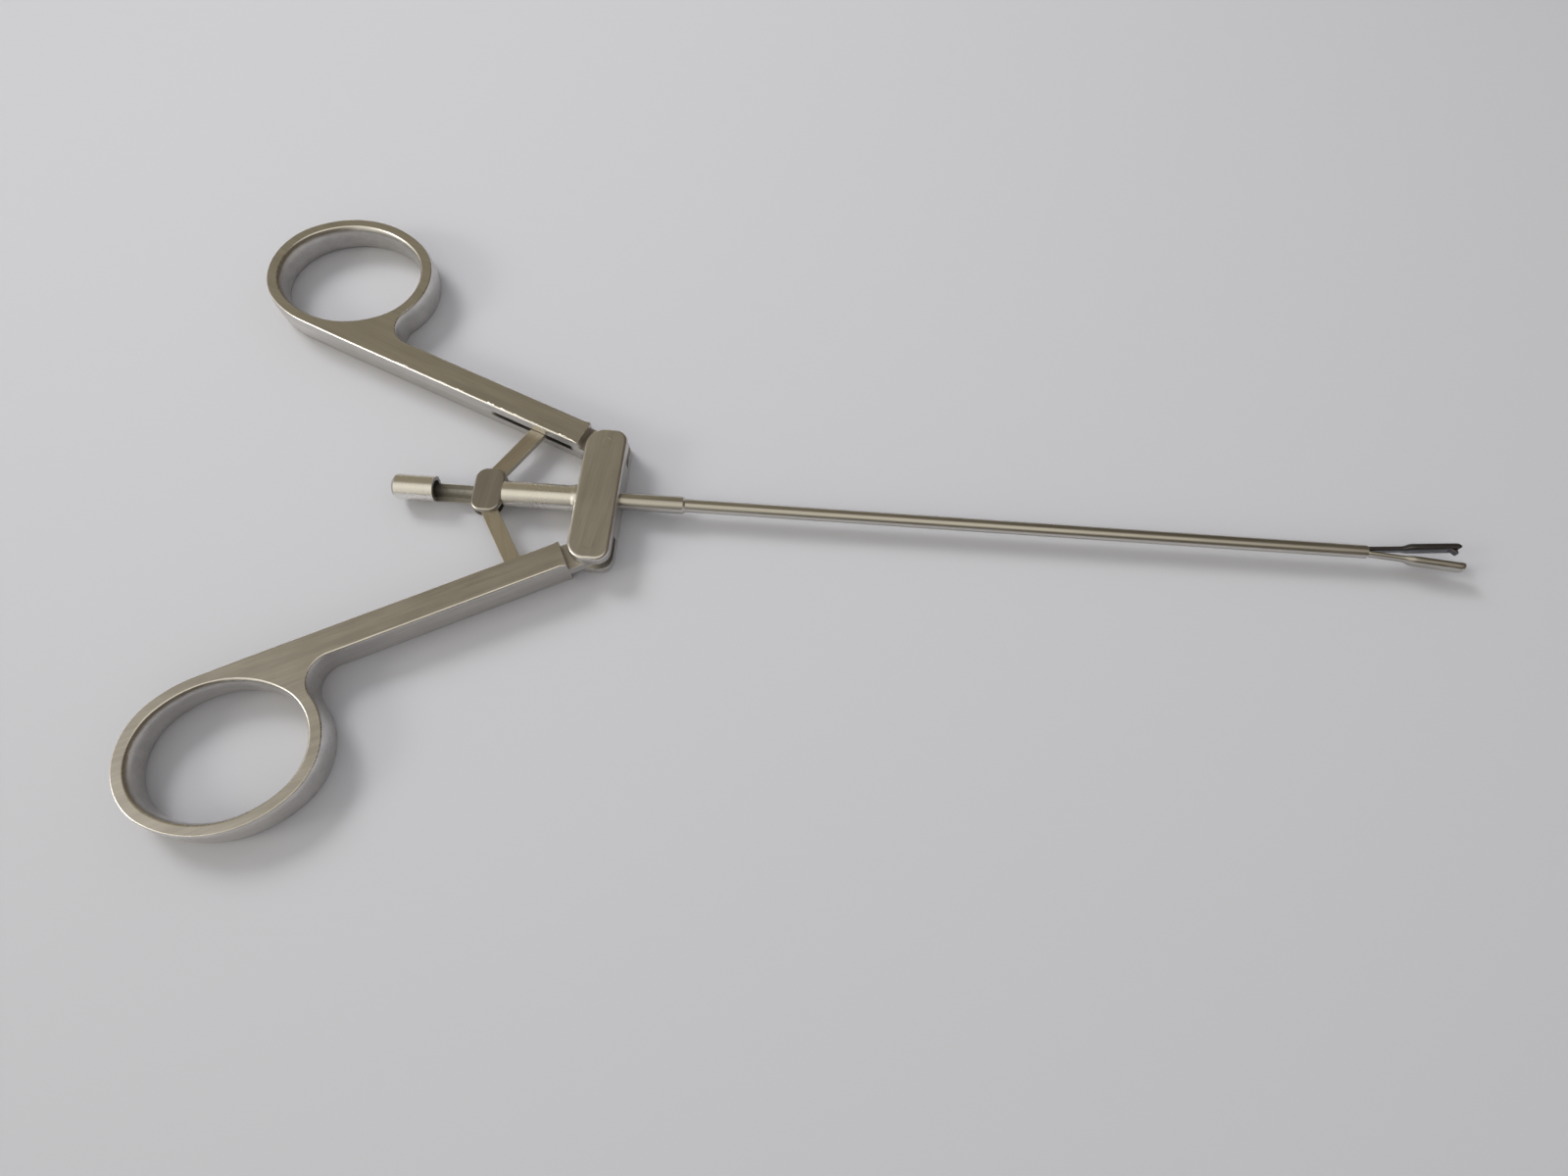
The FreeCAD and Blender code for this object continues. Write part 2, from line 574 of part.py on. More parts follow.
def lipped(name, blank):
    """The right jaw's tip: a raised lip at the end and a pocket that takes the claw."""
    lip = doc.addObject("Part::Common", name + "_lip")
    lip.Base = box(name + "_lip_block", "lip_len", "lip_high + jaw_radius / 2", "jaw_radius",
                   "jaw_len - lip_len", "-jaw_gap - jaw_radius / 2", "-jaw_radius / 2")
    lip.Tool = pin_x(name + "_lip_round", "jaw_radius * 1.9", "jaw_len", "0")
    pocket = box(name + "_pocket", "claw_len + 2 * claw_room", "claw_high + claw_room + claw_root",
                 "claw_wide + 2 * claw_room", CLAW_START + " - claw_room",
                 "jaw_gap - claw_high - claw_room", "-claw_wide / 2 - claw_room")
    return cut(name + "_shaped", fuse(name + "_lipped", [blank, lip]), [pocket])


def jaw(name, side, finish):
    """Half round leg, shoulder and jaw, turned open about the leg's root."""
    length, radius = val("jaw_len"), val("jaw_radius")
    rod = turned(name + "_rod", JAW_PROFILE)
    tip = rounded(name + "_tip", rod, val("jaw_tip_radius"),
                  lambda e: e.BoundBox.XMin > length - 1e-6 and e.Length > radius)
    halved = doc.addObject("Part::Common", name + "_halved")
    halved.Base = tip
    halved.Tool = box(name + "_half", "jaw_len + 2", "jaw_radius * 2", "jaw_radius * 4", "-1",
                      "jaw_gap" if side > 0 else "-jaw_gap - jaw_radius * 2", "-jaw_radius * 2")
    root = pin_z(name + "_root", "leg_radius - jaw_gap", "leg_radius * 1.4", "0",
                 "%d * (leg_radius + jaw_gap) / 2" % side, "-leg_radius * 0.7")
    shaped = finish(name, fuse(name + "_blank", [halved, root]))
    pivot = FreeCAD.Vector(0, side * (val("leg_radius") + val("jaw_gap")) / 2, 0)
    turn = FreeCAD.Rotation(UP, side * val("jaw_open_angle"))
    mouth = FreeCAD.Vector(val("shaft_len") - val("jaw_root"), 0, 0)
    result = doc.addObject("Part::Compound", name)
    result.Links = [shaped]
    result.Placement = FreeCAD.Placement(mouth + pivot - turn.multVec(pivot), turn)
    return result


jaw_left = jaw("jaw_left", 1, clawed)
jaw_right = jaw("jaw_right", -1, lipped)

doc.recompute()
nodes = [handle_block, guide_tube, guide_collar, shaft_ferrule, shaft_tube, crosshead, rod_pin, pull_rod,
         link_left, link_right, handle_left, handle_right, jaw_left, jaw_right] + pins
bad = [o.Name for o in doc.Objects if "Invalid" in o.State or "Error" in o.State]
if bad:
    raise ValueError("failed: " + ", ".join(bad))
os.makedirs("parts", exist_ok=True)
for node in nodes:
    shape = node.Shape
    if shape.isNull() or not shape.isValid() or len(shape.Solids) != 1:
        raise ValueError("%s: %d solids" % (node.Label, len(shape.Solids)))
    solid = shape.Solids[0]
    print("%-20s volume %9.3f  box %s" % (node.Label, solid.Volume, solid.BoundBox))
for node in nodes:
    node.Shape.Solids[0].exportStep("parts/%s.step" % node.Label)
print(len(nodes), "parts")
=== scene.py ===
"""Looks of the ring-handled forceps: brushed and turned steel on a pale table, in soft daylight.

Metres. +X runs along the shaft to the jaws, +Y to the left handle, +Z up from the table.
"""
import json
import math

import bpy
import numpy as np
from mathutils import Matrix, Vector
from mathutils.geometry import tessellate_polygon


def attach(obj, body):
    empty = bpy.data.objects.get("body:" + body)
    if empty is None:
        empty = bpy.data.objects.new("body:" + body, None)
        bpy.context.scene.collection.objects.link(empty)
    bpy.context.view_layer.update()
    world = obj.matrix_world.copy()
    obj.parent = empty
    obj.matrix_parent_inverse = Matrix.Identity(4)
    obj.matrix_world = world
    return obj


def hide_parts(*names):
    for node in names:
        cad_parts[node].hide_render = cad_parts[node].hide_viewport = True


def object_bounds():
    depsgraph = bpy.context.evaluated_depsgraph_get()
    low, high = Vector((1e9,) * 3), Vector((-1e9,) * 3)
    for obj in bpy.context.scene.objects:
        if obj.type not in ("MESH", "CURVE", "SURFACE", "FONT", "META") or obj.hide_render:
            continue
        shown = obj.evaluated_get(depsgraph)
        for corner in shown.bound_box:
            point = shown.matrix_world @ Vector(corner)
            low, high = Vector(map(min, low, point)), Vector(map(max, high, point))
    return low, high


MM = 0.001
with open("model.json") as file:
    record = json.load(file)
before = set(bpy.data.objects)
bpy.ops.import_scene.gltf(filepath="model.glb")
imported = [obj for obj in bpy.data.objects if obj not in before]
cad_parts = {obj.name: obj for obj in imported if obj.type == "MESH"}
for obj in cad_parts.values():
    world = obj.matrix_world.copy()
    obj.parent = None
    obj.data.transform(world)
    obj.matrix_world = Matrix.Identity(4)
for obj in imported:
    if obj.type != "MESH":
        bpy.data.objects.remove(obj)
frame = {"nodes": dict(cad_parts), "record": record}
cad_box = [list(corner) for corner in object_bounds()]
nodes = frame["nodes"]
joints = {joint["name"]: joint for joint in frame["record"]["behaviour"]["joints"]}
TABLE_Z = min(corner[2] for corner in cad_box)


# Camera and light

def add_camera(place, right, down, ahead, focal_px, width_px=1600):
    """A camera from its place and its three directions, with the focal length in pixels of the photo."""
    data = bpy.data.cameras.new("photo_camera")
    data.sensor_width = 36
    data.lens = focal_px / width_px * data.sensor_width
    camera = bpy.data.objects.new("photo_camera", data)
    turn = Matrix([[right[i], -down[i], -ahead[i]] for i in range(3)]).to_4x4()
    camera.matrix_world = Matrix.Translation(Vector(place) * MM) @ turn
    bpy.context.scene.collection.objects.link(camera)
    bpy.context.scene.camera = camera
    return camera


camera = add_camera(
    place=(25.8875, -80.6359, 154.4105),
    right=(0.9966837, 0.0808772, -0.0089696),
    down=(0.0708411, -0.9166340, -0.3934001),
    ahead=(-0.0400389, 0.3914601, -0.9193236),
    focal_px=978.3375,
)
camera.data.clip_start = 0.005
camera.data.clip_end = 20


def add_softbox(name, towards, distance, size, power, colour, aim, spread, mirrored=True):
    """A rectangular lamp that looks at the aim from the direction given; mirrored: the steel shows it."""
    lamp = bpy.data.lights.new(name, "AREA")
    lamp.shape = "RECTANGLE"
    lamp.size, lamp.size_y = size
    lamp.energy = power
    lamp.color = colour
    lamp.spread = math.radians(spread)
    box = bpy.data.objects.new(name, lamp)
    way = Vector(towards).normalized()
    box.location = Vector(aim) + way * distance
    box.rotation_euler = way.to_track_quat("Z", "Y").to_euler()
    box.visible_glossy = mirrored
    bpy.context.scene.collection.objects.link(box)
    return box


add_softbox("window", (-0.6, 0.5, 0.62), 0.9, (0.6, 0.5), 0.68, (0.95, 0.96, 1.0),
            aim=(-0.12, 0.17, 0.0), spread=34, mirrored=False)
add_softbox("side_window", (-0.85, -0.3, 0.48), 1.2, (0.35, 0.3), 0.25, (1.0, 0.96, 0.86),
            aim=(-0.14, 0.0, 0.0), spread=45)


def shader_tree(owner):
    owner.use_nodes = True
    owner.node_tree.nodes.clear()
    return owner.node_tree


def mix_colour(tree, factor, a, b):
    node = tree.nodes.new("ShaderNodeMix")
    node.data_type = "RGBA"
    tree.links.new(factor, node.inputs["Factor"])
    for slot, value in (("A", a), ("B", b)):
        socket = [s for s in node.inputs if s.name == slot and s.type == "RGBA"][0]
        if isinstance(value, tuple):
            socket.default_value = (*value, 1)
        else:
            tree.links.new(value, socket)
    return [s for s in node.outputs if s.type == "RGBA"][0]


def glow(tree, way, reach, core):
    """A soft round patch of the sky: 0 at the cosine reach from its middle, 1 at the cosine core."""
    place = tree.nodes.new("ShaderNodeTexCoord")
    dot = tree.nodes.new("ShaderNodeVectorMath")
    dot.operation = "DOT_PRODUCT"
    dot.inputs[1].default_value = Vector(way).normalized()
    spread = tree.nodes.new("ShaderNodeMapRange")
    spread.interpolation_type = "SMOOTHSTEP"
    spread.inputs["From Min"].default_value = reach
    spread.inputs["From Max"].default_value = core
    tree.links.new(place.outputs["Generated"], dot.inputs[0])
    tree.links.new(dot.outputs["Value"], spread.inputs["Value"])
    return spread.outputs["Result"]


def room():
    """The room that the metal reflects: dim brown walls, a cream ceiling overhead and a lit corner behind.

    The table gets an even daylight from it.
    """
    world = bpy.data.worlds.new("room")
    bpy.context.scene.world = world
    tree = shader_tree(world)
    walls = (0.105, 0.085, 0.062)
    corner = mix_colour(tree, glow(tree, (-0.6, 0.68, 0.42), 0.55, 0.95), walls, (0.265, 0.23, 0.162))
    ceiling = mix_colour(tree, glow(tree, (-0.03, -0.3, 0.95), 0.8, 0.92), corner, (0.78, 0.735, 0.62))
    daylight = mix_colour(tree, glow(tree, (-0.85, -0.4, 0.3), 0.56, 0.86), ceiling, (0.8, 0.765, 0.67))
    ray = tree.nodes.new("ShaderNodeLightPath")
    even = mix_colour(tree, ray.outputs["Is Diffuse Ray"], daylight, (0.6, 0.6, 0.632))
    light = tree.nodes.new("ShaderNodeBackground")
    out = tree.nodes.new("ShaderNodeOutputWorld")
    tree.links.new(even, light.inputs["Color"])
    tree.links.new(light.outputs[0], out.inputs["Surface"])


room()
bpy.context.scene.view_settings.view_transform = "Standard"


# Handle surfaces

OPENED = {"left": 21.8, "right": 27.5}
HINGE = {side: Vector(joints[side + "_handle_hinge"]["pos_m"]) / MM for side in OPENED}
HALF_THICK = 2.97
HALF_BAR = 2.5
BAR_END, BAR_CORNER = 4.7, 0.3
RING_ALONG, RING_TILT = 66.83, math.radians(13.5)
RING_OUT, RING_IN = (17.02, 13.94), (14.1, 11.3)
CROTCH_RADIUS = 4.4
SAW_ALONG, SAW_RADIUS, SAW_DEPTH, SAW_HALF = 15.6, 11.3, 4.5, 0.75
TONGUE_HALF, TONGUE_EYE = 0.95, 1.05


def unit(vector):
    return vector / np.linalg.norm(vector)


def heading(vector):
    return math.atan2(vector[1], vector[0])


def arc(centre, radius, start, end, hollow=False, step=2.0):
    """Points centre + radius (cos a, sin a) for even steps of a, and the directions out of the metal there.

    A full or outer arc runs anticlockwise and faces away from its centre; a hollow one runs
    clockwise and faces its centre. The last point is left to the next run.
    """
    turn = (start - end if hollow else end - start) % (2 * math.pi) or 2 * math.pi
    count = max(3, math.ceil(math.degrees(turn) / step), math.ceil(turn * radius / 0.8))
    angles = start + (-1 if hollow else 1) * np.linspace(0, turn, count, endpoint=False)
    ways = np.column_stack([np.cos(angles), np.sin(angles)])
    return np.asarray(centre) + radius * ways, -ways if hollow else ways


def run(a, b):
    """Points a + t (b - a), about 1 mm apart, and the direction to the right of the way, out of the metal."""
    a, b = np.asarray(a, float), np.asarray(b, float)
    t = np.linspace(0, 1, max(2, math.ceil(np.linalg.norm(b - a))), endpoint=False)[:, None]
    way = unit(b - a)
    return a + t * (b - a), np.tile([way[1], -way[0]], (len(t), 1))


class Oval:
    """Four arcs in one smooth ring: ends of a small radius, sides of a large one."""

    def __init__(self, centre, turn, long_half, short_half):
        self.centre = np.asarray(centre, float)
        self.along = np.array([math.cos(turn), math.sin(turn)])
        self.across = np.array([-math.sin(turn), math.cos(turn)])
        less = (long_half - short_half) / 2
        self.end_radius = short_half - less
        self.k = long_half - self.end_radius
        self.h = (self.k ** 2 - less ** 2) / (2 * less)
        self.side_radius = short_half + self.h

    def end_centre(self, sign):
        return self.centre + self.along * (sign * self.k)

    def side_centre(self, sign):
        return self.centre - self.across * (sign * self.h)

    def joint_heading(self, end, side):
        return heading(self.end_centre(end) - self.side_centre(side))


def joined(runs):
    """Several runs as one closed line of points with their directions."""
    return np.vstack([points for points, ways in runs]), np.vstack([ways for points, ways in runs])


def handle_lines():
    """Outline of bar and ring and the ring's hole: pivot at 0, bar along +X, ring towards +Y."""
    tilt, half, corner, crotch_radius = -RING_TILT, HALF_BAR, BAR_CORNER, CROTCH_RADIUS
    shape = Oval((0, 0), tilt, *RING_OUT)
    reach = shape.side_radius - shape.h * math.cos(tilt)
    centre = (RING_ALONG, reach - half)
    shape, hole = Oval(centre, tilt, *RING_OUT), Oval(centre, tilt, *RING_IN)
    near = shape.end_centre(-1)
    touch_x = shape.side_centre(-1)[0]
    crotch_y = half + crotch_radius
    crotch_x = near[0] - math.sqrt((shape.end_radius + crotch_radius) ** 2 - (crotch_y - near[1]) ** 2)
    crotch = np.array([crotch_x, crotch_y])
    outline = joined([
        run((BAR_END + corner, -half), (touch_x, -half)),
        arc(shape.side_centre(-1), shape.side_radius, -math.pi / 2, shape.joint_heading(1, -1)),
        arc(shape.end_centre(1), shape.end_radius, shape.joint_heading(1, -1), shape.joint_heading(1, 1)),
        arc(shape.side_centre(1), shape.side_radius, shape.joint_heading(1, 1), shape.joint_heading(-1, 1)),
        arc(near, shape.end_radius, shape.joint_heading(-1, 1), heading(crotch - near)),
        arc(crotch, crotch_radius, heading(near - crotch), -math.pi / 2, hollow=True),
        run((crotch_x, half), (BAR_END + corner, half)),
        arc((BAR_END + corner, half - corner), corner, math.pi / 2, math.pi, step=15),
        run((BAR_END, half - corner), (BAR_END, corner - half)),
        arc((BAR_END + corner, corner - half), corner, math.pi, 3 * math.pi / 2, step=15),
    ])
    turns = [hole.joint_heading(1, 1), hole.joint_heading(1, -1), hole.joint_heading(-1, -1),
             hole.joint_heading(-1, 1)]
    opening = joined([
        arc(hole.end_centre(1), hole.end_radius, turns[0], turns[1], hollow=True),
        arc(hole.side_centre(-1), hole.side_radius, turns[1], turns[2], hollow=True),
        arc(hole.end_centre(-1), hole.end_radius, turns[2], turns[3], hollow=True),
        arc(hole.side_centre(1), hole.side_radius, turns[3], turns[0], hollow=True),
    ])
    return outline, opening


def smooth_step(x, low, high):
    t = np.clip((x - low) / (high - low), 0, 1)
    return t * t * (3 - 2 * t)


def wall(line, half, lean=0.0, edge=0.05):
    """A wall round a closed line, as a grid of (row, point).

    With s the share of the way from the middle to the flat side, each wall draws into the metal by
    lean s^4, and by edge (1 - sqrt(1 - e^2)) in the last edge of its height, where e runs from 0 to 1.
    Lean and edge may change along the line.
    """
    points, ways = line
    lean, edge = (np.broadcast_to(value, len(points)).astype(float) for value in (lean, edge))
    s = np.array([0, 0.3, 0.45, 0.57, 0.67, 0.75, 0.81, 0.86, 0.9, 0.93, 0.955, 0.975, 0.99, 1.0])[:, None]
    e = np.clip((s * half - half + edge) / edge, 0, 1)
    inset = lean * s ** 4 + edge * (1 - np.sqrt(1 - e ** 2))
    inset = np.vstack([inset[:0:-1], inset])
    height = half * np.vstack([-s[:0:-1], s]) + 0 * inset
    flat_points = points[None] - ways[None] * inset[..., None]
    return np.concatenate([flat_points, height[..., None]], axis=2)


def plate(walls):
    """Closed plate: each wall's grid joined round its line, and two flat sides between their last rows."""
    corners, quads, base, rims = [], [], 0, ([], [])
    for grid in walls:
        rows, count = grid.shape[:2]
        index = base + np.arange(rows * count).reshape(rows, count)
        ahead = np.roll(index, -1, axis=1)
        quads.append(np.stack([index[:-1], ahead[:-1], ahead[1:], index[1:]], axis=-1).reshape(-1, 4))
        corners.append(grid.reshape(-1, 3))
        rims[0].append(index[0])
        rims[1].append(index[-1])
        base += rows * count
    corners = np.vstack(corners)
    sides = []
    for up, rim in ((False, rims[0]), (True, rims[1])):
        order = np.concatenate(rim)
        loops = [[Vector((x, y, 0)) for x, y in corners[loop, :2].tolist()] for loop in rim]
        triangles = order[np.array(tessellate_polygon(loops))]
        a, b, c = (corners[triangles[:, i], :2] for i in range(3))
        area = (b[:, 0] - a[:, 0]) * (c[:, 1] - a[:, 1]) - (b[:, 1] - a[:, 1]) * (c[:, 0] - a[:, 0])
        wrong = (area < 0) if up else (area > 0)
        triangles[wrong] = triangles[wrong][:, ::-1]
        sides.append(triangles[np.abs(area) > 1e-9])
    return corners, np.vstack(quads), np.vstack(sides)


def mirrored(line):
    """The line mirrored across the bar and run the other way, so that the metal stays on the same hand."""
    points, ways = line
    return (points * [1, -1])[::-1], (ways * [1, -1])[::-1]


def to_object(name, corners, quads, flats):
    """A mesh object in metres with smooth walls and plain flat sides."""
    mesh = bpy.data.meshes.new(name)
    mesh.from_pydata((corners * MM).tolist(), [], quads.tolist() + flats.tolist())
    smooth = np.concatenate([np.ones(len(quads), bool), np.zeros(len(flats), bool)])
    mesh.polygons.foreach_set("use_smooth", smooth)
    mesh.update()
    piece = bpy.data.objects.new(name, mesh)
    bpy.context.scene.collection.objects.link(piece)
    return piece


def carved(piece, tool, operation="DIFFERENCE"):
    """The piece with the tool's shape taken out of it or joined to it; the tool is used up."""
    change = piece.modifiers.new("carve", "BOOLEAN")
    change.operation = operation
    change.solver = "EXACT"
    change.object = tool
    bpy.context.view_layer.update()
    settled = piece.evaluated_get(bpy.context.evaluated_depsgraph_get())
    mesh = bpy.data.meshes.new_from_object(settled)
    piece.modifiers.clear()
    old, piece.data = piece.data, mesh
    bpy.data.meshes.remove(old)
    bpy.data.objects.remove(tool)
    mesh.name = piece.name
    return piece


def adopt(piece, node, body):
    """The piece stands for the CAD node of that name and moves with the body."""
    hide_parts(node)
    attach(piece, body)
    return piece


def turn_matrix(angle):
    return np.array([[math.cos(angle), -math.sin(angle)], [math.sin(angle), math.cos(angle)]])


def handle(side):
    """One handle: bar with finger ring, sawn slot for the link, and the tongue that turns in the block."""
    sign = 1 if side == "left" else -1
    outline, opening = handle_lines()
    if sign > 0:
        outline, opening = mirrored(outline), mirrored(opening)
    turn = sign * math.radians(180 - OPENED[side])
    swing = turn_matrix(turn)
    hinge = np.array(HINGE[side][:2])

    def placed(plate_parts):
        corners, quads, flats = plate_parts
        corners = np.column_stack([corners[:, :2] @ swing.T + hinge, corners[:, 2]])
        return corners, quads, flats

    x = outline[0][:, 0]
    straight_side = sign * outline[0][:, 1] > HALF_BAR - 0.5
    ring = np.where(straight_side, smooth_step(x, 54, 74), smooth_step(x, 44, 51))
    tip = smooth_step(x, BAR_END, BAR_END + 1.5)
    body = to_object("handle_body_" + side, *placed(plate([
        wall(outline, HALF_THICK, 0.32 * ring, 0.08 + 0.37 * tip - 0.3 * ring),
        wall(opening, HALF_THICK, 0.7, 0.15),
    ])))
    saw_centre = (SAW_ALONG, sign * (HALF_BAR + SAW_RADIUS - SAW_DEPTH))
    saw_line = arc(saw_centre, SAW_RADIUS, 0.0, 0.0, step=1.5)
    carved(body, to_object("saw_cut", *placed(plate([wall(saw_line, SAW_HALF, 0, 0.02)]))))
    root = BAR_END + BAR_CORNER
    tongue_line = joined([
        arc((0, 0), HALF_BAR, math.pi / 2, 3 * math.pi / 2, step=4),
        run((0, -HALF_BAR + 0.001), (root, -HALF_BAR + 0.001)),
        run((root, -HALF_BAR + 0.001), (root, HALF_BAR - 0.001)),
        run((root, HALF_BAR - 0.001), (0, HALF_BAR - 0.001)),
    ])
    eye = arc((0, 0), TONGUE_EYE, 0.0, 0.0, hollow=True, step=10)
    tongue = plate([wall(tongue_line, TONGUE_HALF, 0, 0.04), wall(eye, TONGUE_HALF, 0, 0.02)])
    carved(body, to_object("tongue", *placed(tongue)), "UNION")
    return adopt(body, "handle_" + side, "handle_%s_body" % side)


handles = {side: handle(side) for side in OPENED}


# Block and crosshead

PIVOT_HOLE, SLOT_FLOOR, GUIDE_SEAT, FERRULE_SEAT = 1.01, 7.4, 2.335, 1.61
LINK_SLOT_FLOOR, ROD_BORE = 1.425, 0.89


def rounded_box_line(low, high, rear, front):
    """Outline of a plate between two corners, with the radius rear at its low x and front at its high x."""
    (x0, y0), (x1, y1) = low, high
    quarter = math.pi / 2
    return joined([
        arc((x0 + rear, y0 + rear), rear, 2 * quarter, 3 * quarter, step=5),
        run((x0 + rear, y0), (x1 - front, y0)),
        arc((x1 - front, y0 + front), front, -quarter, 0.0, step=5),
        run((x1, y0 + front), (x1, y1 - front)),
        arc((x1 - front, y1 - front), front, 0.0, quarter, step=5),
        run((x1 - front, y1), (x0 + rear, y1)),
        arc((x0 + rear, y1 - rear), rear, quarter, 2 * quarter, step=5),
        run((x0, y1 - rear), (x0, y0 + rear)),
    ])


def square_tool(name, low, high, half):
    """A plain flat cutter between two corners in plan, half the given height above and below the middle."""
    return to_object(name, *plate([wall(rounded_box_line(low, high, 0.02, 0.02), half, 0, 0.01)]))


def drill(name, x0, x1, radius):
    """A round cutter along X: the plan's circle stood on edge, its height laid along the shaft."""
    corners, quads, flats = plate([wall(arc((0, 0), radius, 0.0, 0.0, step=7.5), (x1 - x0) / 2, 0, 0.01)])
    corners = corners[:, [2, 0, 1]] + [(x0 + x1) / 2, 0, 0]
    return to_object(name, corners, quads, flats)


def yoke_block():
    """The block: soft outer edges, a slot across each end for a handle's tongue, and a bore for the tubes."""
    pivot = HINGE["left"]
    half = 3.05
    body = to_object("yoke_block", *plate([
        wall(rounded_box_line((-19.6, -13.35), (-11.9, 13.35), 3.4, 2.4), half, 0, 0.62),
        wall(arc((pivot.x, pivot.y), PIVOT_HOLE, 0.0, 0.0, hollow=True, step=8), half, 0, 0.01),
        wall(arc((pivot.x, -pivot.y), PIVOT_HOLE, 0.0, 0.0, hollow=True, step=8), half, 0, 0.01),
    ]))
    carved(body, square_tool("slot_left", (-21, SLOT_FLOOR), (-11, 15), 1.0))
    carved(body, square_tool("slot_right", (-21, -15), (-11, -SLOT_FLOOR), 1.0))
    carved(body, drill("guide_seat", -20.6, -15.9, GUIDE_SEAT))
    carved(body, drill("ferrule_seat", -16.0, -10.9, FERRULE_SEAT))
    return adopt(body, "handle_block", "frame")


def slider_head():
    """The crosshead: a soft-edged pad with a slot at each end for a link and a bore for the rod."""
    body = to_object("slider_head", *plate([
        wall(rounded_box_line((-39.0, -4.4), (-33.38, 4.4), 2.1, 2.1), 1.37, 0, 0.5),
    ]))
    carved(body, square_tool("link_slot_left", (-41, LINK_SLOT_FLOOR), (-31, 6), 0.6))
    carved(body, square_tool("link_slot_right", (-41, -6), (-31, -LINK_SLOT_FLOOR), 0.6))
    carved(body, drill("rod_bore", -41, -31, ROD_BORE))
    return adopt(body, "crosshead", "slider")


block_piece, head_piece = yoke_block(), slider_head()


# Jaws

JAW_HINGE = {side: Vector(joints[side + "_jaw_hinge"]["pos_m"]) / MM for side in OPENED}
JAW_OPENED = 5.0
LEG_RADIUS, LEG_END, SHOULDER_END = 0.78, 7.1, 9.0
JAW_RADIUS, JAW_LENGTH, JAW_FACE = 1.2, 17.75, 0.05
JAW_TIP = 0.95


def smooth_line(knots, steps=6):
    """A closed Catmull-Rom curve through the knots, run anticlockwise, with its directions outwards."""
    knots = np.asarray(knots, float)
    before, after, beyond = (np.roll(knots, shift, axis=0)[:, None] for shift in (1, -1, -2))
    here, t = knots[:, None], np.linspace(0, 1, steps, endpoint=False)[None, :, None]
    points = 0.5 * (2 * here + (after - before) * t + (2 * before - 5 * here + 4 * after - beyond) * t ** 2
                    + (3 * here - before - 3 * after + beyond) * t ** 3)
    points = points.reshape(-1, 2)
    way = np.roll(points, -1, axis=0) - np.roll(points, 1, axis=0)
    way /= np.linalg.norm(way, axis=1)[:, None]
    return points, np.column_stack([way[:, 1], -way[:, 0]])


def half_round(stations, radii):
    """Closed half round bar along X with its flat face at y = JAW_FACE.

    Each section is y = JAW_FACE + (r - JAW_FACE) cos(a)^(2/n), z = r sin(a)^(2/n) for a from -90 to 90
    degrees, with the sine's sign kept and n = 2.7, a little squarer than round.
    """
    power, count = 2 / 2.7, 27
    a = np.linspace(-math.pi / 2, math.pi / 2, count)
    bulge = np.clip(np.cos(a), 0, 1) ** power
    rise = np.sign(np.sin(a)) * np.abs(np.sin(a)) ** power
    radii = radii[:, None]
    outward = JAW_FACE + (radii - JAW_FACE) * bulge
    grid = np.stack([stations[:, None] + 0 * a, outward, radii * rise], axis=2)
    index = np.arange(grid.shape[0] * count).reshape(-1, count)
    quads = np.stack([index[:-1, :-1], index[1:, :-1], index[1:, 1:], index[:-1, 1:]], axis=-1)
    quads = quads.reshape(-1, 4)
    face = np.stack([index[:-1, -1], index[1:, -1], index[1:, 0], index[:-1, 0]], axis=-1)
    middles = grid[[0, -1], :, :].mean(axis=1)
    corners = np.vstack([grid.reshape(-1, 3), middles])
    ring = np.roll(index, -1, axis=1)
    rear = np.column_stack([index[0], ring[0], np.full(count, len(corners) - 2)])
    front = np.column_stack([ring[-1], index[-1], np.full(count, len(corners) - 1)])
    return corners, np.vstack([quads, face]), np.vstack([rear, front])


